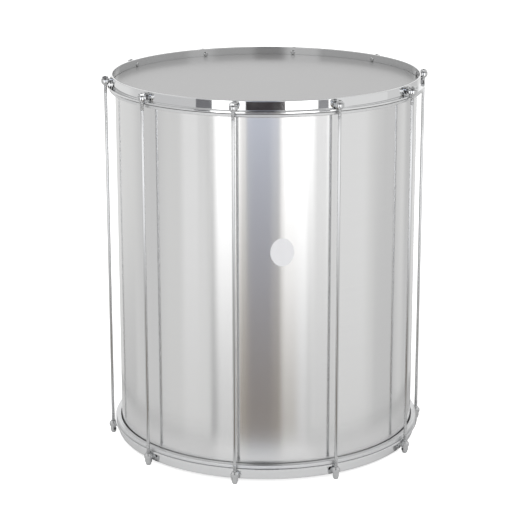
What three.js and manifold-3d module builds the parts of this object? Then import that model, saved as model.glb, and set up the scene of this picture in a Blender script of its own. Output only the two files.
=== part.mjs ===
// A 20 inch by 60 cm surdo: a rolled aluminium shell with a film head on each end. Ten tension
// rods join a steel counter hoop at the top to one at the bottom, and the nuts on their ends
// pull the hoops, and with them the heads, over the shell's rolled edges.
// Millimetres, +Z up, origin on the floor under the drum's axis, with a rod on the -Y side.
// Both ends are built alike, at rising heights from the open edge of their own hoop.
import * as THREE from 'three';
import { mergeVertices } from 'three/addons/utils/BufferGeometryUtils.js';
import Module from 'manifold-3d';

const wasm = await Module();
wasm.setup();

// Shell
const shellDiameter = 508;
const shellLength = 600;
const shellWall = 1.2;
const edgeRollDiameter = 5;
const seamWidth = 18;
const seamThickness = 1.2;
const seamRootDepth = 0.8;
const seamEndMargin = 4;

// Heads
const filmThickness = 0.5;
const headRecess = 13.5;
const collarClearance = 0.6;
const collarRadius = 2.6;

// Flesh hoops, channels that hold the heads' edges
const fleshHoopWidth = 8.4;
const fleshHoopHeight = 6;
const fleshHoopWall = 1;
const fleshHoopClearance = 0.5;

// Counter hoops, bands with an outward flange
const bandClearance = 2.5;
const bandThickness = 2.4;
const bandHeight = 16.3;
const bandEdgeRadius = 0.8;
const flangeWidth = 6.7;
const flangeThickness = 3;
const flangeEdgeRadius = 1;
const bendRadius = 1.6;

// Tension rods
const rodCount = 10;
const shankDiameter = 5.3;
const threadDiameter = 6;
const threadLength = 30;
const threadRunout = 2;
const rodChamfer = 0.9;
const rodTipOut = 1;
const rodEngagement = 7.2;
const rodFlangeClearance = 0.3;

// Ears, riveted to the counter hoops
const earPlateWidth = 17;
const earPlateFootWidth = 7;
const earPlateThickness = 2.2;
const earPlateSetBack = 3.2;
const earPlateCorner = 2.4;
const eyeDiameter = 14;
const eyeHeight = 5.4;
const eyeSetBack = 6.8;
const eyeEdgeRadius = 1;
const eyeFootDiameter = 8.6;
const eyeHoleClearance = 0.4;
const webWidth = 8;
const webTopInset = 0.5;
const webBottomInset = 1.2;
const webSpread = 1.8;
const rivetDiameter = 5;
const rivetHeadDiameter = 8;
const rivetHeadHeight = 1.4;
const rivetFaceDiameter = 5.4;

// Nuts
const nutAcrossFlats = 10;
const threadClearance = 0.3;
const topNutHeight = 4.4;
const topNutFlangeDiameter = 14.2;
const topNutFlangeHeight = 1.6;
const topNutFlangeFootHeight = 0.6;
const capNutHeight = 11.9;
const capNutHexHeight = 6.9;
const capNutBoreDepth = 8.9;
const capNutDomeFootDiameter = 9.4;
const capNutTipDiameter = 4.8;

// Fits, and the overrun that every cut and buried joint shares
const fitGap = 0.3;
const overrun = 1;

// Facet counts
const ringSides = 40;
const eyeSides = 12;
const rodSides = 8;
const boreSides = 8;
const rivetSides = 6;
const hexSides = 6;
const domeRings = 3;
const rollRings = 4;
const collarRings = 2;
const seamSides = 3;

// Radii that follow from the sizes above
const shellRadius = shellDiameter / 2;
const edgeRollRadius = edgeRollDiameter / 2;
const collarInnerRadius = shellRadius + collarClearance;
const collarOuterRadius = collarInnerRadius + filmThickness;
const fleshHoopInnerRadius = collarOuterRadius + fleshHoopClearance;
const fleshHoopOuterRadius = fleshHoopInnerRadius + fleshHoopWidth;
const bandInnerRadius = collarOuterRadius + bandClearance;
const bandOuterRadius = bandInnerRadius + bandThickness;
const flangeRadius = bandOuterRadius + flangeWidth;
const rodCircleRadius = flangeRadius + rodFlangeClearance + threadDiameter / 2;
const earBackRadius = bandOuterRadius + fitGap;
const earFaceRadius = earBackRadius + earPlateThickness;

// Heights from a hoop's open edge towards the middle of the shell
const filmUnderside = headRecess + filmThickness;
const shellEdge = filmUnderside + fitGap;
const flangeFace = bandHeight;
const flangeSeat = flangeFace + flangeThickness;
const fleshHoopTop = flangeSeat + fitGap;
const fleshHoopInnerTop = fleshHoopTop + filmThickness + fitGap;
const fleshHoopBottom = fleshHoopTop + fleshHoopHeight;
const beadBottom = fleshHoopBottom - fleshHoopWall - fitGap;
const eyeEnd = eyeSetBack + eyeHeight;
const earFoot = flangeFace - fitGap;
const earPlateFoot = flangeFace - bendRadius - fitGap;
const rivetHeight = eyeSetBack + eyeHeight / 2;
const nutSeat = eyeSetBack - fitGap;

// Heights from the floor. The drum stands on the ends of its ten cap nuts.
const hoopStand = capNutHeight - nutSeat;
const hoopSpan = shellLength + 2 * shellEdge;
const hoopTop = hoopStand + hoopSpan;
const rodBottom = hoopStand + nutSeat - rodEngagement;
const rodTop = hoopTop - nutSeat + topNutHeight + rodTipOut;

const finishes = {
  aluminium: { color: 0xc9ccce, roughness: 0.28, metalness: 1 },
  hoopMetal: { color: 0xd4d6d8, roughness: 0.3, metalness: 1 },
  chrome: { color: 0xe4e6e8, roughness: 0.08, metalness: 1 },
  film: { color: 0xd2d3d0, roughness: 0.22, metalness: 0 },
};

function finished(name, geometry, finish) {
  const mesh = new THREE.Mesh(geometry, new THREE.MeshStandardMaterial(finish));
  mesh.name = name;
  return mesh;
}

// Booleans

function toSolid(geometry) {
  const bare = geometry.clone();
  bare.deleteAttribute('normal');
  bare.deleteAttribute('uv');
  const merged = mergeVertices(bare);
  const corners = merged.index.array;
  const triangles = [];
  for (let i = 0; i < corners.length; i += 3) {
    const [a, b, c] = [corners[i], corners[i + 1], corners[i + 2]];
    if (a !== b && b !== c && c !== a) triangles.push(a, b, c);
  }
  return new wasm.Manifold(new wasm.Mesh({
    numProp: 3,
    vertProperties: Float32Array.from(merged.attributes.position.array),
    triVerts: Uint32Array.from(triangles),
  }));
}

function toGeometry(solid) {
  const { vertProperties, triVerts } = solid.getMesh();
  const geometry = new THREE.BufferGeometry();
  geometry.setAttribute('position', new THREE.BufferAttribute(vertProperties, 3));
  geometry.setIndex(new THREE.BufferAttribute(triVerts, 1));
  const faceted = geometry.toNonIndexed();
  faceted.computeVertexNormals();
  return faceted;
}

const joined = (geometries) => geometries.map(toSolid).reduce((whole, next) => whole.add(next));
const without = (solid, cuts) => cuts.map(toSolid).reduce((rest, cut) => rest.subtract(cut), solid);

// Turned pieces. A profile is a list of [radius, height], from the bottom up the outside, and
// ends on the axis or closes on its first point.

function turned(profile, sides) {
  const points = profile.map(([radius, height]) => new THREE.Vector2(radius, height));
  return new THREE.LatheGeometry(points, sides).rotateX(Math.PI / 2);
}

function turnedRing(profile, sides) {
  return turned([...profile, profile[0]], sides);
}

function arc(centreRadius, centreHeight, radius, startAngle, endAngle, rings) {
  const points = [];
  for (let i = 0; i <= rings; i += 1) {
    const angle = startAngle + (endAngle - startAngle) * (i / rings);
    points.push([
      centreRadius + radius * Math.cos(angle),
      centreHeight + radius * Math.sin(angle),
    ]);
  }
  return points;
}

// A plain round bar from one height to another
function bar(radius, from, to, sides) {
  return turned([[0, from], [radius, from], [radius, to], [0, to]], sides);
}

// A hexagonal bar, its flats measured across
function hexBar(acrossFlats, from, to) {
  const radius = acrossFlats / 2 / Math.cos(Math.PI / hexSides);
  return bar(radius, from, to, hexSides);
}

// A flat outline of [x, z] points, extruded along y from one radius to another
function slab(outline, from, to) {
  const shape = new THREE.Shape(outline.map(([x, z]) => new THREE.Vector2(x, z)));
  const geometry = new THREE.ExtrudeGeometry(shape, { depth: to - from, bevelEnabled: false });
  return geometry.rotateX(Math.PI / 2).translate(0, to, 0);
}

// A side outline of [radius, height] points on the -Y side, extruded equally to both sides
function rib(outline, width) {
  const shape = new THREE.Shape(outline.map(([radius, height]) => new THREE.Vector2(radius, height)));
  const geometry = new THREE.ExtrudeGeometry(shape, { depth: width, bevelEnabled: false });
  return geometry.translate(0, 0, -width / 2).rotateX(Math.PI / 2).rotateZ(-Math.PI / 2);
}

// Shell: a rolled sheet with both edges curled inwards, and a lap seam down its back

function shellGeometry() {
  const half = shellLength / 2;
  const rollCentre = shellRadius - edgeRollRadius;
  const rollHeight = half - edgeRollRadius;
  const upperRoll = arc(rollCentre, rollHeight, edgeRollRadius, 0, Math.PI, rollRings);
  const lowerRoll = arc(rollCentre, -rollHeight, edgeRollRadius, Math.PI, 2 * Math.PI, rollRings);
  const innerRadius = shellRadius - shellWall;
  const tube = turnedRing([
    ...upperRoll,
    [innerRadius, rollHeight - edgeRollRadius],
    [innerRadius, edgeRollRadius - rollHeight],
    ...lowerRoll,
  ], ringSides);
  return toGeometry(joined([tube, seamGeometry()]));
}

function seamGeometry() {
  const height = hoopSpan - 2 * (fleshHoopBottom + seamEndMargin);
  const innerRadius = shellRadius - seamRootDepth;
  const outerRadius = shellRadius + seamThickness;
  const halfAngle = seamWidth / 2 / shellRadius;
  const middle = Math.PI / 2 - Math.PI / rodCount;
  const shape = new THREE.Shape();
  shape.absarc(0, 0, outerRadius, middle - halfAngle, middle + halfAngle, false);
  shape.absarc(0, 0, innerRadius, middle + halfAngle, middle - halfAngle, true);
  const options = { depth: height, bevelEnabled: false, curveSegments: seamSides };
  return new THREE.ExtrudeGeometry(shape, options).translate(0, 0, -height / 2);
}

// Head: a stretched film, its collar round the shell and the bead that locks in the flesh hoop

function headGeometry() {
  const cornerInner = collarInnerRadius - collarRadius;
  const cornerOuter = collarOuterRadius - collarRadius;
  const beadInner = fleshHoopInnerRadius + fleshHoopWall + fitGap;
  const beadOuter = fleshHoopOuterRadius - fleshHoopWall - fitGap;
  const stepHeight = fleshHoopTop + filmThickness;
  return turned([
    [0, headRecess],
    ...arc(cornerOuter, headRecess + collarRadius, collarRadius, -Math.PI / 2, 0, collarRings),
    [collarOuterRadius, fleshHoopTop],
    [beadOuter, fleshHoopTop],
    [beadOuter, beadBottom],
    [beadInner, beadBottom],
    [beadInner, stepHeight],
    [collarInnerRadius, stepHeight],
    ...arc(cornerInner, filmUnderside + collarRadius, collarRadius, 0, -Math.PI / 2, collarRings),
    [0, filmUnderside],
  ], ringSides);
}

function fleshHoopGeometry() {
  return turnedRing([
    [fleshHoopInnerRadius, fleshHoopInnerTop],
    [fleshHoopInnerRadius + fleshHoopWall, fleshHoopInnerTop],
    [fleshHoopInnerRadius + fleshHoopWall, fleshHoopBottom - fleshHoopWall],
    [fleshHoopOuterRadius - fleshHoopWall, fleshHoopBottom - fleshHoopWall],
    [fleshHoopOuterRadius - fleshHoopWall, fleshHoopTop],
    [fleshHoopOuterRadius, fleshHoopTop],
    [fleshHoopOuterRadius, fleshHoopBottom],
    [fleshHoopInnerRadius, fleshHoopBottom],
  ], ringSides);
}

// Counter hoop: a band with a soft edge, bent out to a flange, with a rivet hole at each ear

function counterHoopGeometry() {
  const hoop = turnedRing([
    [bandInnerRadius, bandEdgeRadius],
    [bandInnerRadius + bandEdgeRadius, 0],
    [bandOuterRadius - bandEdgeRadius, 0],
    [bandOuterRadius, bandEdgeRadius],
    [bandOuterRadius, flangeFace - bendRadius],
    [bandOuterRadius + bendRadius, flangeFace],
    [flangeRadius - flangeEdgeRadius, flangeFace],
    [flangeRadius, flangeFace + flangeEdgeRadius],
    [flangeRadius, flangeSeat],
    [bandInnerRadius, flangeSeat],
  ], ringSides);
  const holeRadius = rivetDiameter / 2 + fitGap;
  const holes = rodPlaces.map((turn) => alongRadius([
    [0, bandInnerRadius - overrun],
    [holeRadius, bandInnerRadius - overrun],
    [holeRadius, bandOuterRadius + overrun],
    [0, bandOuterRadius + overrun],
  ]).rotateZ(turn));
  return toGeometry(without(toSolid(hoop), holes));
}

// A piece turned about the line that a rivet on the -Y side lies on, its heights taken from the
// drum's axis
function alongRadius(profile) {
  return turned(profile, rivetSides).rotateX(Math.PI / 2).translate(0, 0, rivetHeight);
}

// Ear: a tapered plate that fits the band, a web, the eye round the rod with its conical foot,
// and the rivet that is set through the band

function earGeometry() {
  const parts = [earPlate(), earEye(), earWeb(), earRivet()];
  const holeRadius = threadDiameter / 2 + eyeHoleClearance;
  const hole = bar(holeRadius, eyeSetBack - overrun, earFoot + overrun, boreSides)
    .translate(0, -rodCircleRadius, 0);
  return toGeometry(without(joined(parts), [hole]));
}

function earPlate() {
  const half = earPlateWidth / 2;
  const foot = earPlateFootWidth / 2;
  const blank = slab([
    [-half, earPlateSetBack + earPlateCorner],
    [-half + earPlateCorner, earPlateSetBack],
    [half - earPlateCorner, earPlateSetBack],
    [half, earPlateSetBack + earPlateCorner],
    [half, eyeSetBack],
    [foot, earPlateFoot],
    [-foot, earPlateFoot],
    [-half, eyeSetBack],
  ], -earFaceRadius, -earBackRadius + overrun);
  const band = bar(earBackRadius, 0, flangeFace, ringSides);
  return toGeometry(without(toSolid(blank), [band]));
}

function earEye() {
  const radius = eyeDiameter / 2;
  return turned([
    [0, eyeSetBack],
    [radius - eyeEdgeRadius, eyeSetBack],
    [radius, eyeSetBack + eyeEdgeRadius],
    [radius, eyeEnd],
    [eyeFootDiameter / 2, earFoot],
    [0, earFoot],
  ], eyeSides).translate(0, -rodCircleRadius, 0);
}

// The web between plate and eye, deeper where it meets the plate
function earWeb() {
  const high = eyeSetBack + webTopInset;
  const low = eyeEnd - webBottomInset;
  const root = earFaceRadius - earPlateThickness / 2;
  return rib([
    [root, high],
    [rodCircleRadius, high],
    [rodCircleRadius, low],
    [root, low + webSpread],
  ], webWidth);
}

function earRivet() {
  const seat = bandInnerRadius - fitGap;
  return alongRadius([
    [0, seat - rivetHeadHeight],
    [rivetFaceDiameter / 2, seat - rivetHeadHeight],
    [rivetHeadDiameter / 2, seat],
    [rivetDiameter / 2, seat],
    [rivetDiameter / 2, earBackRadius + earPlateThickness / 2],
    [0, earBackRadius + earPlateThickness / 2],
  ]);
}

// Rod: a plain shank with a rolled thread on each end, upright on the drum's axis

function rodGeometry() {
  const thread = threadDiameter / 2;
  const shank = shankDiameter / 2;
  return turned([
    [0, rodBottom],
    [thread, rodBottom],
    [thread, rodBottom + threadLength],
    [shank, rodBottom + threadLength + threadRunout],
    [shank, rodTop - threadLength - threadRunout],
    [thread, rodTop - threadLength],
    [thread, rodTop - rodChamfer],
    [thread - rodChamfer, rodTop],
    [0, rodTop],
  ], rodSides);
}

// Nuts. Each is upright on its own axis, with its seat at height zero and its end above.

function topNutGeometry() {
  const hex = hexBar(nutAcrossFlats, topNutFlangeFootHeight, topNutHeight);
  const flange = turned([
    [0, 0],
    [topNutFlangeDiameter / 2, 0],
    [topNutFlangeDiameter / 2, topNutFlangeFootHeight],
    [nutAcrossFlats / 2, topNutFlangeHeight],
    [0, topNutFlangeHeight],
  ], eyeSides);
  const bore = bar(threadDiameter / 2 + threadClearance, -overrun, topNutHeight + overrun, boreSides);
  return toGeometry(without(joined([hex, flange]), [bore]));
}

function capNutGeometry() {
  const hex = hexBar(nutAcrossFlats, 0, capNutHexHeight);
  const footRadius = capNutDomeFootDiameter / 2;
  const tipRadius = capNutTipDiameter / 2;
  const dome = [];
  for (let i = 0; i <= domeRings; i += 1) {
    const angle = (Math.PI / 2) * (i / domeRings);
    dome.push([
      tipRadius + (footRadius - tipRadius) * Math.cos(angle),
      capNutHexHeight + (capNutHeight - capNutHexHeight) * Math.sin(angle),
    ]);
  }
  const cap = turned([
    [0, capNutHexHeight - overrun],
    [footRadius, capNutHexHeight - overrun],
    ...dome,
    [0, capNutHeight],
  ], eyeSides);
  const bore = bar(threadDiameter / 2 + threadClearance, -overrun, capNutBoreDepth, boreSides);
  return toGeometry(without(joined([hex, cap]), [bore]));
}

// Assembly

const rodPlaces = Array.from({ length: rodCount }, (_, i) => (i / rodCount) * 2 * Math.PI);
const drum = new THREE.Group();

const shell = finished('shell', shellGeometry(), finishes.aluminium);
shell.position.z = hoopStand + hoopSpan / 2;
drum.add(shell);

rodPlaces.forEach((turn, i) => {
  const rod = finished(`tension_rod_${i + 1}`, rodGeometry(), finishes.chrome);
  rod.position.set(rodCircleRadius * Math.sin(turn), -rodCircleRadius * Math.cos(turn), 0);
  drum.add(rod);
});

// One end of the drum. The top end is the bottom end turned over about the Y axis.
function endOfDrum(label, turnedOver, nutGeometry) {
  const end = new THREE.Group();
  end.position.z = turnedOver ? hoopTop : hoopStand;
  end.rotation.y = turnedOver ? Math.PI : 0;
  end.add(finished(`${label}_head`, headGeometry(), finishes.film));
  end.add(finished(`${label}_flesh_hoop`, fleshHoopGeometry(), finishes.hoopMetal));
  end.add(finished(`${label}_counter_hoop`, counterHoopGeometry(), finishes.hoopMetal));
  rodPlaces.forEach((turn, i) => {
    const place = new THREE.Group();
    place.rotation.z = turnedOver ? -turn : turn;
    place.add(finished(`${label}_ear_${i + 1}`, earGeometry(), finishes.chrome));
    const nut = finished(`${label}_nut_${i + 1}`, nutGeometry(), finishes.chrome);
    nut.position.set(0, -rodCircleRadius, nutSeat);
    nut.rotation.x = Math.PI;
    place.add(nut);
    end.add(place);
  });
  return end;
}

drum.add(endOfDrum('bottom', false, capNutGeometry));
drum.add(endOfDrum('top', true, topNutGeometry));

export default drum;
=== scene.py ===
"""A surdo drum: brushed aluminium shell, film heads, chromed counter hoops, rods and nuts.

Metres, in the frame of the solids. Each end of the drum is drawn at heights that rise from the
open edge of its own hoop towards the middle of the shell, and then set in its place.
"""

import cmath
import math

import bmesh
import bpy
from mathutils import Matrix, Vector


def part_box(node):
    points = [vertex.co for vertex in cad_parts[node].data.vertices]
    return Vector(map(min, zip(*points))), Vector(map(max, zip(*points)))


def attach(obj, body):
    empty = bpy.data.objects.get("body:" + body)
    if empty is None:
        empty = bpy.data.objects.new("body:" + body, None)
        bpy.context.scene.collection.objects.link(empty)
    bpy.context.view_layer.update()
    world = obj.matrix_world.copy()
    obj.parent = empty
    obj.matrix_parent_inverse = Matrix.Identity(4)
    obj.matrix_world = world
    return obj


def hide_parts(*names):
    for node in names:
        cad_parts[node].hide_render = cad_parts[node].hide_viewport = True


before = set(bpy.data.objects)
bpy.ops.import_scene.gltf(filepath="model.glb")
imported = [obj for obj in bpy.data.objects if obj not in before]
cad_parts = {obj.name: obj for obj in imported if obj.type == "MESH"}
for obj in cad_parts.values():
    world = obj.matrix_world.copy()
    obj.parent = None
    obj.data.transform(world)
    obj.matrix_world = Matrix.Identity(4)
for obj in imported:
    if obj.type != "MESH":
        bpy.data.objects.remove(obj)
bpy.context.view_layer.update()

mm = 0.001

# Places read from the solids
SHELL_LOW, SHELL_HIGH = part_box("shell")
TOP_HOOP_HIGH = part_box("top_counter_hoop")[1]
BOTTOM_HOOP_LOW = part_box("bottom_counter_hoop")[0]
ROD_LOW, ROD_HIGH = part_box("tension_rod_1")
TOP_NUT_LOW, TOP_NUT_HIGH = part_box("top_nut_1")
CAP_NUT_LOW, CAP_NUT_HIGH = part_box("bottom_nut_1")

SHELL_RADIUS = SHELL_HIGH[0]
FLANGE_RADIUS = TOP_HOOP_HIGH[0]
ROD_CIRCLE = -(ROD_LOW[1] + ROD_HIGH[1]) / 2
HOOP_TOP = TOP_HOOP_HIGH[2]
HOOP_BOTTOM = BOTTOM_HOOP_LOW[2]
TOP_NUT_HEIGHT = TOP_NUT_HIGH[2] - TOP_NUT_LOW[2]
CAP_NUT_HEIGHT = CAP_NUT_HIGH[2] - CAP_NUT_LOW[2]

# Shell and its back seam
SHELL_WALL = 1.2 * mm
EDGE_ROLL_RADIUS = 2.5 * mm
EDGE_ROLL_FILLET = 0.98 * EDGE_ROLL_RADIUS
SEAM_WIDTH = 18 * mm
SEAM_THICKNESS = 1.2 * mm
SEAM_BURIAL = 0.3 * mm
SEAM_END = 30 * mm
SEAM_BEVEL = 0.3 * mm
SEAM_FACETS = 6
SEAM_RIVET_RADIUS = 3 * mm
SEAM_RIVET_RISE = 1 * mm
SEAM_RIVET_FILLET = 0.9 * SEAM_RIVET_RISE
SEAM_RIVET_COUNT = 12
SEAM_RIVET_MARGIN = 22 * mm

# Heads
FILM_THICKNESS = 0.5 * mm
HEAD_RECESS = 13.5 * mm
COLLAR_INNER_RADIUS = SHELL_RADIUS + 0.6 * mm
COLLAR_OUTER_RADIUS = COLLAR_INNER_RADIUS + FILM_THICKNESS
COLLAR_BEND = 2.6 * mm
FILM_SHOULDER_FILLET = 0.5 * mm
BEAD_FILLET = 0.8 * mm
HEAD_NAMES = {"top": "playing_head_film", "bottom": "resonant_head_film"}

# Flesh hoops
FLESH_INNER_RADIUS = COLLAR_OUTER_RADIUS + 0.5 * mm
FLESH_OUTER_RADIUS = FLESH_INNER_RADIUS + 8.4 * mm
FLESH_WALL = 1 * mm
FLESH_TOP = 19.6 * mm
FLESH_BOTTOM = 25.6 * mm
FLESH_GROOVE = {"bottom": 0, "top": 1.4 * mm}
FLESH_LIP_FILLET = 0.3 * mm
FLESH_INNER_FILLET = 0.4 * mm
FLESH_OUTER_FILLET = 1.2 * mm
FIT_GAP = 0.3 * mm

# Counter hoops
BAND_INNER_RADIUS = COLLAR_OUTER_RADIUS + 2.5 * mm
BAND_OUTER_RADIUS = BAND_INNER_RADIUS + 2.4 * mm
FLANGE_FACE = 16.3 * mm
FLANGE_SEAT = 19.3 * mm
BAND_EDGE = 1 * mm
FLANGE_BEND = 0.6 * mm
FLANGE_EDGE = 0.3 * mm
FLAT_MARGIN = 0.3 * mm

# Rods
ROD_COUNT = 10
SHANK_RADIUS = 2.65 * mm
THREAD_RADIUS = 3 * mm
THREAD_CORE_RADIUS = 2.55 * mm
THREAD_RIDGE = 0.9 * (THREAD_RADIUS - THREAD_CORE_RADIUS)
THREAD_RIDGE_RADIUS = THREAD_CORE_RADIUS + 0.1 * mm
THREAD_LENGTH = 30 * mm
THREAD_PITCH = 1 * mm
ROD_CHAMFER = 0.9 * mm

# Ears
EAR_BACK_RADIUS = BAND_OUTER_RADIUS + FIT_GAP
EAR_FACE_RADIUS = EAR_BACK_RADIUS + 2.2 * mm
EAR_PLATE_HALF = 8.5 * mm
EAR_FOOT_HALF = 3.5 * mm
EAR_PLATE_TOP = 3.2 * mm
EAR_PLATE_FOOT = 14.4 * mm
EAR_PLATE_CORNER = 2.4 * mm
EAR_SHOULDER = 7.8 * mm
EAR_SHOULDER_CORNER = 2 * mm
EAR_FOOT_CORNER = 1 * mm
EAR_BEVEL = 0.45 * mm
EYE_TOP = 6.8 * mm
EYE_END = 12.2 * mm
EYE_FOOT = 16 * mm
EYE_RADIUS = 7 * mm
EYE_FOOT_RADIUS = 4.3 * mm
EYE_EDGE = 1 * mm
EYE_FOOT_EDGE = 0.4 * mm
EYE_HOLE_RADIUS = 3.4 * mm
WEB_HALF = 4 * mm
WEB_TOP = 7.3 * mm
WEB_LOW = 11 * mm
WEB_ROOT_LOW = 12.8 * mm
WEB_BURIAL = 1 * mm
RIVET_HEIGHT = (EYE_TOP + EYE_END) / 2
RIVET_HEAD_RADIUS = 4 * mm
RIVET_HEAD_RISE = 1.4 * mm
RIVET_FLAT_SHARE = 0.7
RIVET_EDGE = 0.4 * mm
RIVET_BURIAL = 0.1 * mm

# Nuts
NUT_FLATS_HALF = 5 * mm
NUT_CHAMFER = 0.7 * mm
NUT_END_RADIUS = 0.94 * NUT_FLATS_HALF
NUT_CORNER_MARGIN = 1 * mm
NUT_BORE_RADIUS = 3.2 * mm
NUT_SEAT = 6.5 * mm
NUT_FLANGE_RADIUS = 7.1 * mm
NUT_FLANGE_EDGE = 0.6 * mm
NUT_FLANGE_RISE = 1.6 * mm
NUT_FLANGE_FOOT_FILLET = 0.2 * mm
NUT_FLANGE_EDGE_FILLET = 0.25 * mm
COUNTERSINK_START = 0.9 * TOP_NUT_HEIGHT
COUNTERSINK_RADIUS = 1.25 * NUT_BORE_RADIUS
COUNTERSINK_PAST_END = 0.05 * mm
BORE_BELOW_SEAT = 1 * mm
CAP_HEX_HEIGHT = 6.9 * mm
CAP_FOOT_RADIUS = 4.7 * mm
CAP_TIP_RADIUS = 2.4 * mm
CAP_BORE_DEPTH = 8.9 * mm
CAP_DOME_STEPS = 8

# Label on the shell's front
LABEL_AZIMUTH = math.radians(16.7)
LABEL_HEIGHT = 0.389
LABEL_WIDTH = 38 * mm
LABEL_TALL = 46 * mm
LABEL_THICKNESS = 0.2 * mm
LABEL_SIDES = 48
LABEL_RINGS = 6

# Facets
RING_SIDES = 240
BAND_CUT_SIDES = 2 * RING_SIDES
SMALL_SIDES = 32
ROD_SIDES = 20
EAR_RIVET_SIDES = 20
SEAM_RIVET_SIDES = 12
NUT_CORNER_SIDES = 48
THREAD_TURN_SIDES = 16
THREAD_RIDGE_SIDES = 3
FILLET_STEPS = 4
FINE_FILLET_STEPS = 6
COARSE_FILLET_STEPS = 3
BEVEL_SEGMENTS = 2
BEVEL_ANGLE = math.radians(35)
SHARP_ANGLE = math.radians(28)
FLAT_FACE_WEIGHT = 100
MERGE_DISTANCE = 0.001 * mm


# Node trees


class Wire:
    """A node's output. Arithmetic on it adds Math nodes to its tree."""

    def __init__(self, socket):
        self.socket = socket
        self.tree = socket.id_data

    def math(self, operation, *values):
        settings = {"operation": operation}
        return node(self.tree, "ShaderNodeMath", settings, dict(enumerate(values)))

    def __add__(self, other):
        return self.math("ADD", self, other)

    __radd__ = __add__

    def __sub__(self, other):
        return self.math("SUBTRACT", self, other)

    def __rsub__(self, other):
        return self.math("SUBTRACT", other, self)

    def __mul__(self, other):
        return self.math("MULTIPLY", self, other)

    __rmul__ = __mul__

    def __truediv__(self, other):
        return self.math("DIVIDE", self, other)

    def __rtruediv__(self, other):
        return self.math("DIVIDE", other, self)

    def __abs__(self):
        return self.math("ABSOLUTE", self)

    def smooth(self, start, end):
        """0 at start, 1 at end, with an eased slope between them."""
        spans = {"Value": self, "From Min": start, "From Max": end}
        if start > end:
            spans = {"Value": self, "From Min": end, "From Max": start,
                     "To Min": 1, "To Max": 0}
        settings = {"interpolation_type": "SMOOTHSTEP"}
        return node(self.tree, "ShaderNodeMapRange", settings, spans)

    def outputs(self):
        """A wire from each output of this wire's node, in order."""
        return [Wire(socket) for socket in self.socket.node.outputs]


def node(tree, kind, settings=None, values=None, output=0):
    """Adds a node, sets it, fills its inputs with values or wires, and returns one output."""
    made = tree.nodes.new(kind)
    for name, value in (settings or {}).items():
        setattr(made, name, value)
    for key, value in (values or {}).items():
        if isinstance(value, Wire):
            tree.links.new(value.socket, made.inputs[key])
        else:
            made.inputs[key].default_value = value
    return Wire(made.outputs[output]) if made.outputs else made


def mixed(factor, first, second):
    """A colour between two others, through the colour sockets of a Mix node."""
    colours = {0: factor, 6: first, 7: second}
    return node(factor.tree, "ShaderNodeMix", {"data_type": "RGBA"}, colours, output=2)


def grey(level):
    """A neutral colour: 0 is black, 1 is white, and more is a light brighter than white."""
    return (level, level, level, 1)


def stretched_noise(tree, scale, detail):
    """Noise on the object's own coordinates, scaled apart along each axis."""
    place = node(tree, "ShaderNodeTexCoord", output="Object")
    spread = node(tree, "ShaderNodeVectorMath", {"operation": "MULTIPLY"}, {0: place, 1: scale})
    shape = {"Vector": spread, "Scale": 1, "Detail": detail}
    return node(tree, "ShaderNodeTexNoise", {}, shape)


def emptied_tree(owner):
    """The node tree of a new material or world, with nothing in it."""
    owner.use_nodes = True
    owner.node_tree.nodes.clear()
    return owner.node_tree


def finish(name, surface):
    """A material. surface(tree) gives the Principled shader's inputs as values and wires."""
    material = bpy.data.materials.new(name)
    tree = emptied_tree(material)
    shader = node(tree, "ShaderNodeBsdfPrincipled", {}, surface(tree))
    node(tree, "ShaderNodeOutputMaterial", {}, {"Surface": shader})
    return material


def brushed_surface(tree):
    """Rolled sheet brushed round the drum, which spreads its reflections up and down."""
    grain = stretched_noise(tree, scale=(14, 14, 2600), detail=3)
    bands = stretched_noise(tree, scale=(3, 3, 500), detail=2)
    bump = {"Strength": 0.03, "Distance": 0.05 * mm, "Height": grain}
    return {
        "Base Color": mixed(bands, grey(0.82), grey(0.85)),
        "Metallic": 1,
        "Roughness": 0.13 + 0.03 * grain,
        "Anisotropic": 0.95,
        "Anisotropic Rotation": 0.25,
        "Normal": node(tree, "ShaderNodeBump", {}, bump),
    }


def chrome_surface(tree):
    """The hoops' bright plating, with faint handling marks."""
    marks = stretched_noise(tree, scale=(60, 60, 60), detail=4)
    return {
        "Base Color": (0.88, 0.885, 0.89, 1),
        "Metallic": 1,
        "Roughness": 0.03 + 0.03 * marks,
    }


def shaded_chrome_surface(tree):
    """The hoops' chrome with a darker base colour: painted shade on the rods, ears and nuts."""
    marks = stretched_noise(tree, scale=(90, 90, 90), detail=4)
    return {
        # Painted shade: a darker base than the hoops' chrome, for the dark reflections and
        # shadow on the small parts
        "Base Color": (0.66, 0.665, 0.67, 1),
        "Metallic": 1,
        "Roughness": 0.03 + 0.03 * marks,
    }


def satin_surface(tree):
    """The bare aluminium of the flesh hoops and the seam's rivets."""
    grain = stretched_noise(tree, scale=(20, 20, 1500), detail=2)
    return {
        "Base Color": (0.84, 0.845, 0.85, 1),
        "Metallic": 1,
        "Roughness": 0.38 + 0.06 * grain,
    }


def film_surface(tree):
    """The heads' smooth, milky film."""
    cloud = stretched_noise(tree, scale=(4, 4, 4), detail=3)
    return {
        "Base Color": mixed(cloud, grey(0.215), (0.235, 0.235, 0.233, 1)),
        "Roughness": 0.19 + 0.06 * cloud,
        "IOR": 1.5,
    }


def label_surface(tree):
    """A glossy white label."""
    tone = stretched_noise(tree, scale=(90, 90, 90), detail=2)
    return {
        "Base Color": mixed(tone, (0.78, 0.78, 0.80, 1), (0.82, 0.82, 0.84, 1)),
        "Roughness": 0.3,
    }


BRUSHED = finish("brushed aluminium", brushed_surface)
CHROME = finish("chrome plate", chrome_surface)
# The small parts' chrome is the hoops' chrome darkened: painted shade, not a different plating
SHADED_CHROME = finish("chrome plate darkened as painted shade", shaded_chrome_surface)
SATIN = finish("satin aluminium", satin_surface)
FILM = finish("milky film", film_surface)
LABEL = finish("white label", label_surface)


# Solids


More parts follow.
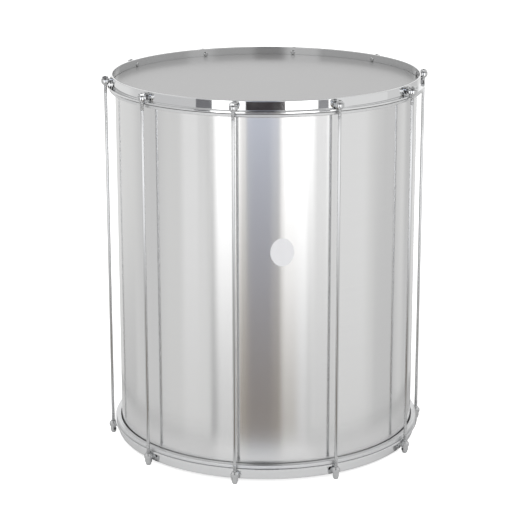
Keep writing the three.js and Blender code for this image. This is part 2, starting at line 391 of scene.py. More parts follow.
def filleted(corners, steps=FILLET_STEPS):
    """An outline of (across, along, fillet) corners, with each fillet drawn as an arc."""
    spots = [complex(across, along) for across, along, _ in corners]
    outline = []
    for i, (here, corner) in enumerate(zip(spots, corners)):
        fillet = corner[2]
        if not fillet:
            outline.append(here)
            continue
        back = spots[i - 1] - here
        onward = spots[(i + 1) % len(spots)] - here
        back, onward = back / abs(back), onward / abs(onward)
        half = abs(cmath.phase(onward / back)) / 2
        centre = here + (back + onward) / abs(back + onward) * fillet / math.sin(half)
        start = here + back * fillet / math.tan(half) - centre
        turn = cmath.phase((here + onward * fillet / math.tan(half) - centre) / start)
        outline += [centre + start * cmath.exp(1j * turn * k / steps) for k in range(steps + 1)]
    return [(spot.real, spot.imag) for spot in outline]


def turned(outline, sides=SMALL_SIDES):
    """A solid turned about the Z axis. Its outline closes, on itself or along the axis."""
    solid = bmesh.new()
    corners = [solid.verts.new((radius, 0, height)) for radius, height in outline]
    on_axis = outline[0][0] == 0 and outline[-1][0] == 0
    chain = corners if on_axis else corners + corners[:1]
    edges = [solid.edges.new(pair) for pair in zip(chain, chain[1:])]
    bmesh.ops.spin(solid, geom=corners + edges, cent=(0, 0, 0), axis=(0, 0, 1),
                   angle=2 * math.pi, steps=sides)
    return cleaned(solid)


def cylinder(radius, low, high, sides=SMALL_SIDES):
    """A round bar on the Z axis, from one height to another."""
    return turned([(0, low), (radius, low), (radius, high), (0, high)], sides)


def extruded(outline, depth):
    """A prism on an outline of (x, y) points, half its depth to each side of the XY plane."""
    solid = bmesh.new()
    solid.faces.new([solid.verts.new((x, y, -depth / 2)) for x, y in outline])
    raise_faces(solid, depth)
    return cleaned(solid)


def raise_faces(solid, depth):
    """Gives a solid's faces a depth along Z."""
    thick = bmesh.ops.extrude_face_region(solid, geom=solid.faces[:])
    raised = [v for v in thick["geom"] if isinstance(v, bmesh.types.BMVert)]
    bmesh.ops.translate(solid, verts=raised, vec=(0, 0, depth))


def cleaned(solid):
    """Merges a solid's doubles and turns its faces outwards."""
    bmesh.ops.remove_doubles(solid, verts=solid.verts, dist=MERGE_DISTANCE)
    bmesh.ops.recalc_face_normals(solid, faces=solid.faces)
    return solid


def held(solid, name="blank"):
    """An object that holds a solid's mesh."""
    mesh = bpy.data.meshes.new(name)
    solid.to_mesh(mesh)
    solid.free()
    obj = bpy.data.objects.new(name, mesh)
    bpy.context.scene.collection.objects.link(obj)
    return obj


def settled(obj):
    """Makes the object's modifiers part of its mesh."""
    depsgraph = bpy.context.evaluated_depsgraph_get()
    mesh = bpy.data.meshes.new_from_object(obj.evaluated_get(depsgraph))
    obj.modifiers.clear()
    obj.data = mesh
    return obj


def shaped(obj, operation, tool):
    """Joins a tool to the object, or cuts the object by it, and removes the tool."""
    change = obj.modifiers.new("shape", "BOOLEAN")
    change.object, change.operation, change.solver = tool, operation, "EXACT"
    settled(obj)
    bpy.data.objects.remove(tool)
    return obj


def softened(obj, width):
    """Rounds the object's sharp edges."""
    bevel = obj.modifiers.new("edges", "BEVEL")
    bevel.width, bevel.segments = width, BEVEL_SEGMENTS
    bevel.limit_method, bevel.angle_limit = "ANGLE", BEVEL_ANGLE
    bevel.use_clamp_overlap = True
    return settled(obj)


def placed(obj, place):
    """Turns and moves the object's mesh."""
    obj.data.transform(place)
    return obj


def copied(obj, name):
    """A second object with its own copy of the mesh."""
    twin = bpy.data.objects.new(name, obj.data.copy())
    bpy.context.scene.collection.objects.link(twin)
    return twin


def dressed(obj, name, material, body, slot, *nodes):
    """Names a finished piece, gives it its material and body, and replaces its nodes. The slot
    argument is not used.
    """
    obj.data.materials.clear()
    obj.data.materials.append(material)
    obj.data.shade_smooth()
    obj.data.set_sharp_from_angle(angle=SHARP_ANGLE)
    normals = obj.modifiers.new("flat faces shade flat", "WEIGHTED_NORMAL")
    normals.keep_sharp, normals.weight = True, FLAT_FACE_WEIGHT
    settled(obj)
    obj.name = obj.data.name = name
    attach(obj, body)
    if nodes:
        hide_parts(*nodes)
    return obj


# Where an end's pieces go, the bottom end upright and the top end turned over
END_PLACES = {
    "bottom": Matrix.Translation((0, 0, HOOP_BOTTOM)),
    "top": Matrix.Translation((0, 0, HOOP_TOP)) @ Matrix.Rotation(math.pi, 4, "Y"),
}

# Stands an XY outline up, with the solid's Z outwards at the first rod
UPRIGHT = Matrix.Rotation(math.pi / 2, 4, "X")


def at_rod(index):
    """The place of a piece that was made on the drum's axis, moved out to one rod."""
    turn = 2 * math.pi * index / ROD_COUNT
    return Matrix.Rotation(turn, 4, "Z") @ Matrix.Translation((0, -ROD_CIRCLE, 0))


# Copies and threads made by geometry nodes


def opened(name, **inputs):
    """A new geometry tree with named inputs of given kinds, and a wire from each."""
    tree = bpy.data.node_groups.new(name, "GeometryNodeTree")
    for label, kind in inputs.items():
        tree.interface.new_socket(label, in_out="INPUT", socket_type=f"NodeSocket{kind}")
    tree.interface.new_socket("Geometry", in_out="OUTPUT", socket_type="NodeSocketGeometry")
    return tree, node(tree, "NodeGroupInput").outputs()[:len(inputs)]


def closed(tree, geometry, material):
    """Ends a geometry tree, with its copies made real and coated in the material."""
    real = node(tree, "GeometryNodeRealizeInstances", {}, {"Geometry": geometry})
    coated = node(tree, "GeometryNodeSetMaterial", {}, {"Geometry": real, "Material": material})
    node(tree, "NodeGroupOutput", {}, {"Geometry": coated})
    return tree


def copies_tree(name, spacing):
    """A tree that copies a piece. spacing(tree, index, step) gives the copies' Position and
    Rotation from their index and the step between two."""
    tree, (piece, count, step, material) = opened(
        name, Piece="Object", Count="Int", Step="Float", Material="Material")
    position, rotation = spacing(tree, node(tree, "GeometryNodeInputIndex"), step)
    points = node(tree, "GeometryNodePoints", {}, {"Count": count, "Position": position})
    shape = node(tree, "GeometryNodeObjectInfo", {}, {"Object": piece}, output="Geometry")
    copies = node(tree, "GeometryNodeInstanceOnPoints", {},
                  {"Points": points, "Instance": shape, "Rotation": rotation})
    return closed(tree, copies, material)


def round_the_axis(tree, index, step):
    """Copies turned about the drum's axis."""
    return (0, 0, 0), node(tree, "ShaderNodeCombineXYZ", {}, {"Z": index * step})


def up_the_seam(tree, index, step):
    """Copies one above the other."""
    return node(tree, "ShaderNodeCombineXYZ", {}, {"Z": index * step}), (0, 0, 0)


def thread_tree():
    """A tree that winds a screw thread's ridge upwards from the origin."""
    tree, (length, pitch, radius, ridge, material) = opened(
        "screw thread", Length="Float", Pitch="Float", Radius="Float", Ridge="Float",
        Material="Material")
    spiral = node(tree, "GeometryNodeCurveSpiral", {}, {
        "Resolution": THREAD_TURN_SIDES, "Rotations": length / pitch, "Start Radius": radius,
        "End Radius": radius, "Height": length,
    })
    section = node(tree, "GeometryNodeCurvePrimitiveCircle", {},
                   {"Resolution": THREAD_RIDGE_SIDES, "Radius": ridge})
    swept = node(tree, "GeometryNodeCurveToMesh", {},
                 {"Curve": spiral, "Profile Curve": section, "Fill Caps": True})
    return closed(tree, swept, material)


def grown(tree, **inputs):
    """An object whose mesh a geometry tree makes from named inputs."""
    obj = held(bmesh.new(), "grown")
    growth = obj.modifiers.new("growth", "NODES")
    growth.node_group = tree
    for item in tree.interface.items_tree:
        if item.in_out == "INPUT":
            growth[item.identifier] = inputs[item.name]
    return settled(obj)


RING_COPIES = copies_tree("copies round the drum", round_the_axis)
SEAM_COPIES = copies_tree("rivets up the seam", up_the_seam)
SCREW_THREAD = thread_tree()


def ring_of(piece, material):
    """Copies at every rod of a piece that was made at the first one, as one mesh."""
    ring = grown(RING_COPIES, Piece=piece, Count=ROD_COUNT, Step=2 * math.pi / ROD_COUNT,
                 Material=material)
    bpy.data.objects.remove(piece)
    return ring


def numbered(stem):
    """The names of the solids' nodes at every rod."""
    return [f"{stem}_{i + 1}" for i in range(ROD_COUNT)]


# Shell, its seam and its label


def make_shell():
    """The shell with both edges rolled inwards."""
    half = (SHELL_HIGH[2] - SHELL_LOW[2]) / 2
    middle = (SHELL_HIGH[2] + SHELL_LOW[2]) / 2
    inner = SHELL_RADIUS - SHELL_WALL
    hem = SHELL_RADIUS - 2 * EDGE_ROLL_RADIUS
    hem_end = half - 2 * EDGE_ROLL_RADIUS
    outline = filleted([
        (SHELL_RADIUS, -half, EDGE_ROLL_FILLET),
        (SHELL_RADIUS, half, EDGE_ROLL_FILLET),
        (hem, half, EDGE_ROLL_FILLET),
        (hem, hem_end, EDGE_ROLL_FILLET),
        (inner, hem_end, 0),
        (inner, -hem_end, 0),
        (hem, -hem_end, EDGE_ROLL_FILLET),
        (hem, -half, EDGE_ROLL_FILLET),
    ], FINE_FILLET_STEPS)
    shell = held(turned(outline, RING_SIDES))
    placed(shell, Matrix.Translation((0, 0, middle)))
    dressed(shell, "brushed_shell", BRUSHED, "drum", "shell_aluminium", "shell")


def make_seam():
    """The lap seam down the back, midway between two rods, and its row of rivets."""
    half_angle = SEAM_WIDTH / 2 / SHELL_RADIUS
    angles = [half_angle * (2 * k / SEAM_FACETS - 1) for k in range(SEAM_FACETS + 1)]
    outer, inner = SHELL_RADIUS + SEAM_THICKNESS, SHELL_RADIUS - SEAM_BURIAL
    outline = [(outer * math.sin(a), -outer * math.cos(a)) for a in angles]
    outline += [(inner * math.sin(a), -inner * math.cos(a)) for a in reversed(angles)]
    bottom, top = HOOP_BOTTOM + SEAM_END, HOOP_TOP - SEAM_END
    to_the_back = Matrix.Rotation(math.pi - math.pi / ROD_COUNT, 4, "Z")
    seam = held(extruded(outline, top - bottom))
    placed(seam, to_the_back @ Matrix.Translation((0, 0, (top + bottom) / 2)))
    softened(seam, SEAM_BEVEL)
    dressed(seam, "shell_lap_seam", BRUSHED, "drum", "shell_aluminium")

    dome = filleted([
        (0, -SEAM_BURIAL, 0),
        (SEAM_RIVET_RADIUS, -SEAM_BURIAL, 0),
        (SEAM_RIVET_RADIUS, SEAM_RIVET_RISE, SEAM_RIVET_FILLET),
        (0, SEAM_RIVET_RISE, 0),
    ], COARSE_FILLET_STEPS)
    rivet = held(turned(dome, SEAM_RIVET_SIDES))
    start = bottom + SEAM_RIVET_MARGIN
    step = (top - bottom - 2 * SEAM_RIVET_MARGIN) / (SEAM_RIVET_COUNT - 1)
    placed(rivet, to_the_back @ Matrix.Translation((0, -outer, start)) @ UPRIGHT)
    rivets = grown(SEAM_COPIES, Piece=rivet, Count=SEAM_RIVET_COUNT, Step=step, Material=SATIN)
    bpy.data.objects.remove(rivet)
    dressed(rivets, "seam_rivets", SATIN, "drum", "shell_aluminium")


def make_label():
    """An oval label wrapped on the shell."""
    turns = [2 * math.pi * k / LABEL_SIDES for k in range(LABEL_SIDES)]
    solid = bmesh.new()
    middle = solid.verts.new((0, 0, 0))
    loops = []
    for ring in range(1, LABEL_RINGS + 1):
        across, up = (ring / LABEL_RINGS * size / 2 for size in (LABEL_WIDTH, LABEL_TALL))
        loops.append([solid.verts.new((across * math.cos(turn), up * math.sin(turn), 0))
                      for turn in turns])
    for k in range(LABEL_SIDES):
        on = (k + 1) % LABEL_SIDES
        solid.faces.new((middle, loops[0][k], loops[0][on]))
        for low, high in zip(loops, loops[1:]):
            solid.faces.new((low[k], high[k], high[on], low[on]))
    raise_faces(solid, LABEL_THICKNESS)
    for vert in solid.verts:
        across, up, out = vert.co
        angle = LABEL_AZIMUTH + across / SHELL_RADIUS
        radius = SHELL_RADIUS + out
        vert.co = (radius * math.sin(angle), -radius * math.cos(angle), LABEL_HEIGHT + up)
    dressed(held(cleaned(solid)), "oval_label", LABEL, "drum", "head_film")


# Heads and hoops of one end


def make_head(end):
    """The film with its collar on the shell's edge and its bead inside the flesh hoop."""
    bead_inner = FLESH_INNER_RADIUS + FLESH_WALL + FIT_GAP
    bead_outer = FLESH_OUTER_RADIUS - FLESH_WALL - FIT_GAP
    bead_end = FLESH_BOTTOM - FLESH_WALL - FIT_GAP
    underside = HEAD_RECESS + FILM_THICKNESS
    step = FLESH_TOP + FILM_THICKNESS
    shoulder = BAND_INNER_RADIUS - FIT_GAP
    outline = filleted([
        (0, HEAD_RECESS, 0),
        (shoulder, HEAD_RECESS, FILM_SHOULDER_FILLET),
        (shoulder, FLESH_TOP, 0),
        (bead_outer, FLESH_TOP, 0),
        (bead_outer, bead_end, BEAD_FILLET),
        (bead_inner, bead_end, BEAD_FILLET),
        (bead_inner, step, 0),
        (COLLAR_INNER_RADIUS, step, 0),
        (COLLAR_INNER_RADIUS, underside, COLLAR_BEND - FILM_THICKNESS),
        (0, underside, 0),
    ], FINE_FILLET_STEPS)
    head = placed(held(turned(outline, RING_SIDES)), END_PLACES[end])
    dressed(head, HEAD_NAMES[end], FILM, "drum", "head_film", f"{end}_head")


def make_flesh_hoop(end):
    """The channel that holds the film's bead."""
    inner_top = FLESH_TOP + FILM_THICKNESS + FIT_GAP
    outer_top = FLESH_TOP + FLESH_GROOVE[end]
    inner_wall = FLESH_INNER_RADIUS + FLESH_WALL
    outer_wall = FLESH_OUTER_RADIUS - FLESH_WALL
    channel_end = FLESH_BOTTOM - FLESH_WALL
    outline = filleted([
        (FLESH_INNER_RADIUS, inner_top, FLESH_LIP_FILLET),
        (inner_wall, inner_top, FLESH_LIP_FILLET),
        (inner_wall, channel_end, FLESH_INNER_FILLET),
        (outer_wall, channel_end, FLESH_INNER_FILLET),
        (outer_wall, outer_top, FLESH_LIP_FILLET),
        (FLESH_OUTER_RADIUS, outer_top, FLESH_LIP_FILLET),
        (FLESH_OUTER_RADIUS, FLESH_BOTTOM, FLESH_OUTER_FILLET),
        (FLESH_INNER_RADIUS, FLESH_BOTTOM, FLESH_OUTER_FILLET),
    ])
    hoop = placed(held(turned(outline, RING_SIDES)), END_PLACES[end])
    dressed(hoop, f"{end}_flesh_hoop_channel", SATIN, "drum", "flesh_hoop_metal",
            f"{end}_flesh_hoop")


def make_counter_hoop(end):
    """The steel band with the flange that presses on the flesh hoop."""
    edge_flat = BAND_EDGE + FLAT_MARGIN
    bend_margin = FLANGE_BEND + FLAT_MARGIN
    outline = filleted([
        (BAND_INNER_RADIUS, edge_flat, 0),
        (BAND_INNER_RADIUS, 0, BAND_EDGE),
        (BAND_OUTER_RADIUS, 0, BAND_EDGE),
        (BAND_OUTER_RADIUS, edge_flat, 0),
        (BAND_OUTER_RADIUS, FLANGE_FACE - bend_margin, 0),
        (BAND_OUTER_RADIUS, FLANGE_FACE, FLANGE_BEND),
        (FLANGE_RADIUS, FLANGE_FACE, FLANGE_EDGE),
        (FLANGE_RADIUS, FLANGE_SEAT, FLANGE_EDGE),
        (BAND_INNER_RADIUS, FLANGE_SEAT, FLANGE_BEND),
        (BAND_INNER_RADIUS, FLANGE_SEAT - bend_margin, 0),
    ])
    hoop = placed(held(turned(outline, RING_SIDES)), END_PLACES[end])
    dressed(hoop, f"{end}_counter_hoop_band", CHROME, f"{end}_hoop", "chrome",
            f"{end}_counter_hoop")


def make_ears(end):
    """A tapered plate on the band, with a web, a bored eye and a rivet head inside the band."""
    plate = filleted([
        (-EAR_PLATE_HALF, EAR_PLATE_TOP, EAR_PLATE_CORNER),
        (EAR_PLATE_HALF, EAR_PLATE_TOP, EAR_PLATE_CORNER),
        (EAR_PLATE_HALF, EAR_SHOULDER, EAR_SHOULDER_CORNER),
        (EAR_FOOT_HALF, EAR_PLATE_FOOT, EAR_FOOT_CORNER),
        (-EAR_FOOT_HALF, EAR_PLATE_FOOT, EAR_FOOT_CORNER),
        (-EAR_PLATE_HALF, EAR_SHOULDER, EAR_SHOULDER_CORNER),
    ])
    depth = 2 * (EAR_FACE_RADIUS - EAR_BACK_RADIUS)
    ear = held(extruded(plate, depth))
    placed(ear, Matrix.Translation((0, depth / 2 - EAR_FACE_RADIUS, 0)) @ UPRIGHT)
    band = held(cylinder(EAR_BACK_RADIUS, 0, FLANGE_SEAT, BAND_CUT_SIDES))
    shaped(ear, "DIFFERENCE", band)

    root = EAR_FACE_RADIUS - WEB_BURIAL
    web = held(extruded([
        (root, WEB_TOP), (ROD_CIRCLE, WEB_TOP), (ROD_CIRCLE, WEB_LOW), (root, WEB_ROOT_LOW),
    ], 2 * WEB_HALF))
    placed(web, Matrix.Rotation(-math.pi / 2, 4, "Z") @ UPRIGHT)
    shaped(ear, "UNION", web)

    eye = held(turned(filleted([
        (0, EYE_TOP, 0),
        (EYE_RADIUS, EYE_TOP, EYE_EDGE),
        (EYE_RADIUS, EYE_END, EYE_EDGE),
        (EYE_FOOT_RADIUS, EYE_FOOT, EYE_FOOT_EDGE),
        (0, EYE_FOOT, 0),
    ])))
    shaped(ear, "UNION", placed(eye, at_rod(0)))
    hole = held(cylinder(EYE_HOLE_RADIUS, 0, FLESH_TOP))
    shaped(ear, "DIFFERENCE", placed(hole, at_rod(0)))
    softened(ear, EAR_BEVEL)

    inside = BAND_INNER_RADIUS - RIVET_HEAD_RISE - FIT_GAP
    rivet_foot = RIVET_HEAD_RISE + RIVET_BURIAL
    rivet = held(turned(filleted([
        (0, 0, 0),
        (RIVET_FLAT_SHARE * RIVET_HEAD_RADIUS, 0, RIVET_EDGE),
        (RIVET_HEAD_RADIUS, RIVET_FLAT_SHARE * RIVET_HEAD_RISE, RIVET_EDGE),
        (RIVET_HEAD_RADIUS, rivet_foot, 0),
        (0, rivet_foot, 0),
    ]), EAR_RIVET_SIDES))
    placed(rivet, Matrix.Translation((0, -inside, RIVET_HEIGHT)) @ UPRIGHT)
    shaped(ear, "UNION", rivet)

    ears = ring_of(placed(ear, END_PLACES[end]), SHADED_CHROME)
    dressed(ears, f"{end}_hoop_ears", SHADED_CHROME, f"{end}_hoop", "chrome",
            *numbered(f"{end}_ear"))


# Rods


def make_rods():
    """The rods from hoop to hoop, and the threads on both their ends."""
    bottom, top = ROD_LOW[2], ROD_HIGH[2]
    rod = placed(held(turned([
        (0, bottom),
        (THREAD_CORE_RADIUS - ROD_CHAMFER, bottom),
        (THREAD_CORE_RADIUS, bottom + ROD_CHAMFER),
        (THREAD_CORE_RADIUS, bottom + THREAD_LENGTH),
        (SHANK_RADIUS, bottom + THREAD_LENGTH + THREAD_PITCH),
        (SHANK_RADIUS, top - THREAD_LENGTH - THREAD_PITCH),
        (THREAD_CORE_RADIUS, top - THREAD_LENGTH),
        (THREAD_CORE_RADIUS, top - ROD_CHAMFER),
        (THREAD_CORE_RADIUS - ROD_CHAMFER, top),
        (0, top),
    ], ROD_SIDES)), at_rod(0))
    rods = ring_of(rod, SHADED_CHROME)
    dressed(rods, "tension_rods", SHADED_CHROME, "drum", "chrome", *numbered("tension_rod"))
    for end, start in (("bottom", bottom + ROD_CHAMFER), ("top", top - THREAD_LENGTH)):
        thread = grown(SCREW_THREAD, Length=THREAD_LENGTH - ROD_CHAMFER, Pitch=THREAD_PITCH,
                       Radius=THREAD_RIDGE_RADIUS, Ridge=THREAD_RIDGE, Material=SHADED_CHROME)
        placed(thread, at_rod(0) @ Matrix.Translation((0, 0, start)))
        threads = ring_of(thread, SHADED_CHROME)
        dressed(threads, f"{end}_rod_threads", SHADED_CHROME, "drum", "chrome")


# Nuts, made on the axis with the seat at height zero and the end above


def hexagon(height):
    """A hexagonal bar with its corners turned off at the end."""
    radius = NUT_FLATS_HALF / math.cos(math.pi / 6)
    corners = [(radius * math.cos(k * math.pi / 3), radius * math.sin(k * math.pi / 3))
               for k in range(6)]
    bar = placed(held(extruded(corners, height)), Matrix.Translation((0, 0, height / 2)))
    clear = radius + NUT_CORNER_MARGIN
    envelope = held(turned([
        (0, -NUT_CHAMFER),
        (clear, -NUT_CHAMFER),
        (clear, height - NUT_CHAMFER),
        (NUT_END_RADIUS, height),
        (0, height),
    ], NUT_CORNER_SIDES))
    return shaped(bar, "INTERSECT", envelope)


def make_top_nuts():
    """Low flange nuts, bored through and countersunk at the end."""
    nut = hexagon(TOP_NUT_HEIGHT)
    flange = held(turned(filleted([
        (0, 0, 0),
        (NUT_FLANGE_RADIUS, 0, NUT_FLANGE_FOOT_FILLET),
        (NUT_FLANGE_RADIUS, NUT_FLANGE_EDGE, NUT_FLANGE_EDGE_FILLET),
        (NUT_FLATS_HALF, NUT_FLANGE_RISE, 0),
        (0, NUT_FLANGE_RISE, 0),
    ], COARSE_FILLET_STEPS)))
    shaped(nut, "UNION", flange)
    bore_end = TOP_NUT_HEIGHT + COUNTERSINK_PAST_END
    bore = held(turned([
        (0, -BORE_BELOW_SEAT),
        (NUT_BORE_RADIUS, -BORE_BELOW_SEAT),
        (NUT_BORE_RADIUS, COUNTERSINK_START),
        (COUNTERSINK_RADIUS, bore_end),
        (0, bore_end),
    ]))
    shaped(nut, "DIFFERENCE", bore)
    set_nuts(nut, "top", "flange_nut")


def make_cap_nuts():
    """Domed cap nuts with blind bores."""
    nut = hexagon(CAP_HEX_HEIGHT)
    dome_spread = CAP_FOOT_RADIUS - CAP_TIP_RADIUS
    dome_rise = CAP_NUT_HEIGHT - CAP_HEX_HEIGHT
    dome = [(CAP_TIP_RADIUS + dome_spread * math.cos(angle),
             CAP_HEX_HEIGHT + dome_rise * math.sin(angle))
            for angle in (math.pi / 2 * k / CAP_DOME_STEPS for k in range(CAP_DOME_STEPS + 1))]
    cap = held(turned([(0, NUT_CHAMFER), (CAP_FOOT_RADIUS, NUT_CHAMFER), *dome,
                       (0, CAP_NUT_HEIGHT)]))
    shaped(nut, "UNION", cap)
    bore = held(cylinder(NUT_BORE_RADIUS, -BORE_BELOW_SEAT, CAP_BORE_DEPTH))
    shaped(nut, "DIFFERENCE", bore)
    set_nuts(nut, "bottom", "cap_nut")


def set_nuts(nut, end, name):
    """Copies a nut to each rod of one end, every one on its own body."""
    turn_over = Matrix.Translation((0, 0, NUT_SEAT)) @ Matrix.Rotation(math.pi, 4, "X")
    for i in range(ROD_COUNT):
        # The top end is turned over, so its rods are counted the other way round
        index = -i if end == "top" else i
        twin = copied(nut, f"{name}_{i + 1}")
        placed(twin, END_PLACES[end] @ at_rod(index) @ turn_over)
        dressed(twin, f"{end}_{name}_{i + 1}", SHADED_CHROME, f"{end}_nut_{i + 1}_body", "chrome",
                f"{end}_nut_{i + 1}")
    bpy.data.objects.remove(nut)


make_shell()
make_seam()
make_label()
for end in END_PLACES:
    make_head(end)
    make_flesh_hoop(end)
    make_counter_hoop(end)
    make_ears(end)
make_rods()
make_top_nuts()
make_cap_nuts()


# Studio

CAMERA_AZIMUTH = 10.9
CAMERA_DISTANCE = 3.002
CAMERA_HEIGHT = 1.165
CAMERA_TILT = 15.29
CAMERA_LENS = 126.84
CAMERA_SENSOR = 36
CAMERA_SHIFT = (-0.0197, -0.036)
CAMERA_CLIP = 100

# What glossy rays meet round the drum: walls that get darker low down, a pale backdrop from
# the horizon up, and a ceiling, each faded in between two elevations in degrees
WALLS = (0.78, 0.78, 0.775, 1)
LOW_WALLS = (0.68, 0.68, 0.675, 1)
WALLS_FADE = (-20, -14)
BACKDROP = grey(1)
BACKDROP_FADE = (-6, 2)
CEILING = grey(0.7)
CEILING_FADE = (28, 42)

# Panels in front of those, which the drum's metal and film reflect, as degrees right of the
# camera, width, lowest and highest elevation, softness of the edges, and colour. Later panels
# lie over earlier ones.
PANELS = [
    # Above, for the upper edges of the small parts
    (0, 400, 58, 95, 6, grey(0.04)),
    # For the heads and the inside of the rims
    (0, 306, 0, 24, 6, grey(0.45)),
    (-29, 26, 7, 22, 4, grey(0.95)),
    (52, 22, 7, 22, 5, grey(0.8)),
    (-2, 22, 7, 80, 4, (0.03, 0.025, 0.025, 1)),
    # For the shell left of its middle
    (-137, 30, -70, -17.5, 3, grey(0.55)),
    (-101, 30, -70, 0, 8, grey(0.66)),
    (-55, 22, -17, 0, 4, grey(1)),
    (-29, 26, -70, -17, 2, grey(0.47)),
    (-28.7, 19.5, -15.3, -3, 2, grey(2)),
    (-39.5, 6, -12.8, -3, 1.5, grey(1.4)),
    (-17.3, 6, -12.6, -7, 1.5, grey(1.5)),
    (-40, 6, -70, -19, 2.5, grey(0.3)),
    # For the shell right of its middle
    (23.5, 28, -70, -17, 2, grey(0.46)),
    (20.7, 20.5, -15.3, -3, 2, grey(2)),
    (32.5, 8, -13, -3, 1.5, grey(2)),
    (43, 13, -15, 0, 3, grey(1.35)),
    (45, 20, -70, -18, 3, grey(0.6)),
    (68, 30, -18, 0, 5, grey(0.9)),
    (107, 30, -70, 0, 8, grey(0.66)),
    (107, 30, -70, -17, 3, grey(0.6)),
    (142, 20, -70, 5, 5, grey(0.6)),
    # For the dark band down the shell's middle, bluish at the top and brown at the foot
    (-4.3, 17.5, -17, -12.6, 4, (0.25, 0.285, 0.4, 1)),
    (-6, 36, -70, -17, 3, (0.18, 0.138, 0.09, 1)),
    (0, 48, -70, -20.5, 4, (0.18, 0.138, 0.09, 1)),
    (-2, 24, -9, 2, 1.2, (1.2, 1.3, 1.55, 1)),
    # For the outside of the counter hoops' bands
    (-75, 46, -11.8, -9.6, 0.2, (0.58, 0.58, 0.585, 1)),
    (75, 50, -11.8, -9.6, 0.2, grey(0.75)),
    (-0.4, 28.4, -11.8, -10.5, 0.2, (0.02, 0.014, 0.015, 1)),
    (-45.8, 12.5, -11.8, -9.6, 0.2, (0.17, 0.17, 0.18, 1)),
    (42, 8, -11.8, -9.6, 0.2, (0.27, 0.27, 0.28, 1)),
]

# The even light that falls on the drum from all round
SKY_LEVEL = 0.8

# The floor's size and tone, and how far out metal reflects it before it fades away
FLOOR_RADIUS = 30
FLOOR_THICKNESS = 0.002
FLOOR_SIDES = 64
FLOOR_PAPER = 0.6
FLOOR_GLOW = 0.85
FLOOR_NEAR = 0.35
FLOOR_FAR = 0.47


def ray_kinds(tree):
    """Wires that are 1 on rays from the camera, and on rays that glossy surfaces reflect."""
    rays = node(tree, "ShaderNodeLightPath").socket.node.outputs
    return Wire(rays["Is Camera Ray"]), Wire(rays["Is Glossy Ray"])


def make_world():
    """White to the camera, panelled to glossy rays, and an even light to the rest."""
    world = bpy.data.worlds.new("studio")
    bpy.context.scene.world = world
    tree = emptied_tree(world)
    direction = node(tree, "ShaderNodeTexCoord", output="Generated")
    x, y, z = node(tree, "ShaderNodeSeparateXYZ", {}, {"Vector": direction}).outputs()
    middle = math.radians(CAMERA_AZIMUTH)
    right = x * math.cos(middle) + y * math.sin(middle)
    front = x * math.sin(middle) - y * math.cos(middle)
    azimuth = right.math("ARCTAN2", right, front) * math.degrees(1)
    elevation = z.math("ARCSINE", z) * math.degrees(1)
    colour = mixed(elevation.smooth(*WALLS_FADE), LOW_WALLS, WALLS)
    colour = mixed(elevation.smooth(*BACKDROP_FADE), colour, BACKDROP)
    colour = mixed(elevation.smooth(*CEILING_FADE), colour, CEILING)
    for centre, width, foot, top, soft, tone in PANELS:
        across = abs(azimuth - centre).smooth(width / 2 + soft, width / 2 - soft)
        above = elevation.smooth(foot - soft, foot + soft)
        below = elevation.smooth(top + soft, top - soft)
        colour = mixed(across * (above * below), colour, tone)
    seen, glossy = ray_kinds(tree)
    level = mixed(glossy, grey(SKY_LEVEL), colour)
    shade = node(tree, "ShaderNodeBackground", {}, {"Color": mixed(seen, level, grey(1))})
    node(tree, "ShaderNodeOutputWorld", {}, {"Surface": shade})


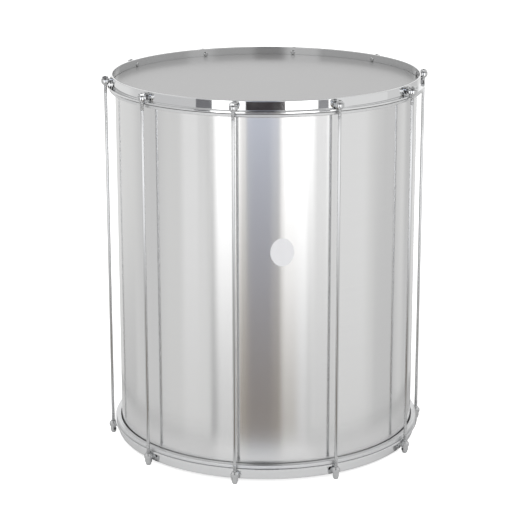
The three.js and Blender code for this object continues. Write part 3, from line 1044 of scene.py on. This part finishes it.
def make_floor():
    """A wide pale floor that shows the drum's soft shadow. The metal reflects its near part."""
    floor = held(cylinder(FLOOR_RADIUS, -FLOOR_THICKNESS, 0, FLOOR_SIDES), "studio_floor")
    material = bpy.data.materials.new("pale paper")
    tree = emptied_tree(material)
    paper = node(tree, "ShaderNodeBsdfDiffuse", {}, {"Color": grey(FLOOR_PAPER)})
    glow = node(tree, "ShaderNodeEmission", {}, {"Color": grey(1), "Strength": FLOOR_GLOW})
    seen, glossy = ray_kinds(tree)
    lit = node(tree, "ShaderNodeAddShader", {}, {0: paper, 1: glow})
    shade = node(tree, "ShaderNodeMixShader", {}, {0: seen, 1: paper, 2: lit})
    place = node(tree, "ShaderNodeTexCoord", output="Object")
    away = node(tree, "ShaderNodeVectorMath", {"operation": "LENGTH"}, {0: place},
                output="Value")
    unseen = glossy * away.smooth(FLOOR_NEAR, FLOOR_FAR)
    clear = node(tree, "ShaderNodeBsdfTransparent")
    shade = node(tree, "ShaderNodeMixShader", {}, {0: unseen, 1: shade, 2: clear})
    node(tree, "ShaderNodeOutputMaterial", {}, {"Surface": shade})
    floor.data.materials.append(material)


def make_lamp(name, azimuth, elevation, distance, size, power):
    """A round softbox that faces the drum's middle and isn't seen in reflections."""
    lamp = bpy.data.lights.new(name, "AREA")
    lamp.shape, lamp.size, lamp.energy = "DISK", size, power
    obj = bpy.data.objects.new(name, lamp)
    bpy.context.scene.collection.objects.link(obj)
    turn, rise = math.radians(CAMERA_AZIMUTH + azimuth), math.radians(elevation)
    away = Vector((math.sin(turn) * math.cos(rise), -math.cos(turn) * math.cos(rise),
                   math.sin(rise)))
    obj.location = Vector((0, 0, (HOOP_TOP + HOOP_BOTTOM) / 2)) + distance * away
    obj.rotation_mode = "QUATERNION"
    obj.rotation_quaternion = away.to_track_quat("Z", "Y")
    obj.visible_glossy = False


def make_camera():
    """The camera at the photograph's height, angle and framing."""
    camera = bpy.data.cameras.new("camera")
    camera.lens, camera.sensor_width = CAMERA_LENS, CAMERA_SENSOR
    camera.shift_x, camera.shift_y = CAMERA_SHIFT
    camera.clip_end = CAMERA_CLIP
    obj = bpy.data.objects.new("camera", camera)
    bpy.context.scene.collection.objects.link(obj)
    turn = math.radians(CAMERA_AZIMUTH)
    obj.location = (CAMERA_DISTANCE * math.sin(turn), -CAMERA_DISTANCE * math.cos(turn),
                    CAMERA_HEIGHT)
    obj.rotation_euler = (math.radians(90 - CAMERA_TILT), 0, turn)
    bpy.context.scene.camera = obj


make_world()
make_floor()
make_lamp("overhead softbox", azimuth=-35, elevation=62, distance=3.2, size=1.8, power=45)
make_lamp("side softbox", azimuth=60, elevation=35, distance=3.2, size=1.6, power=20)
make_camera()

bpy.context.scene.view_settings.view_transform = "Standard"
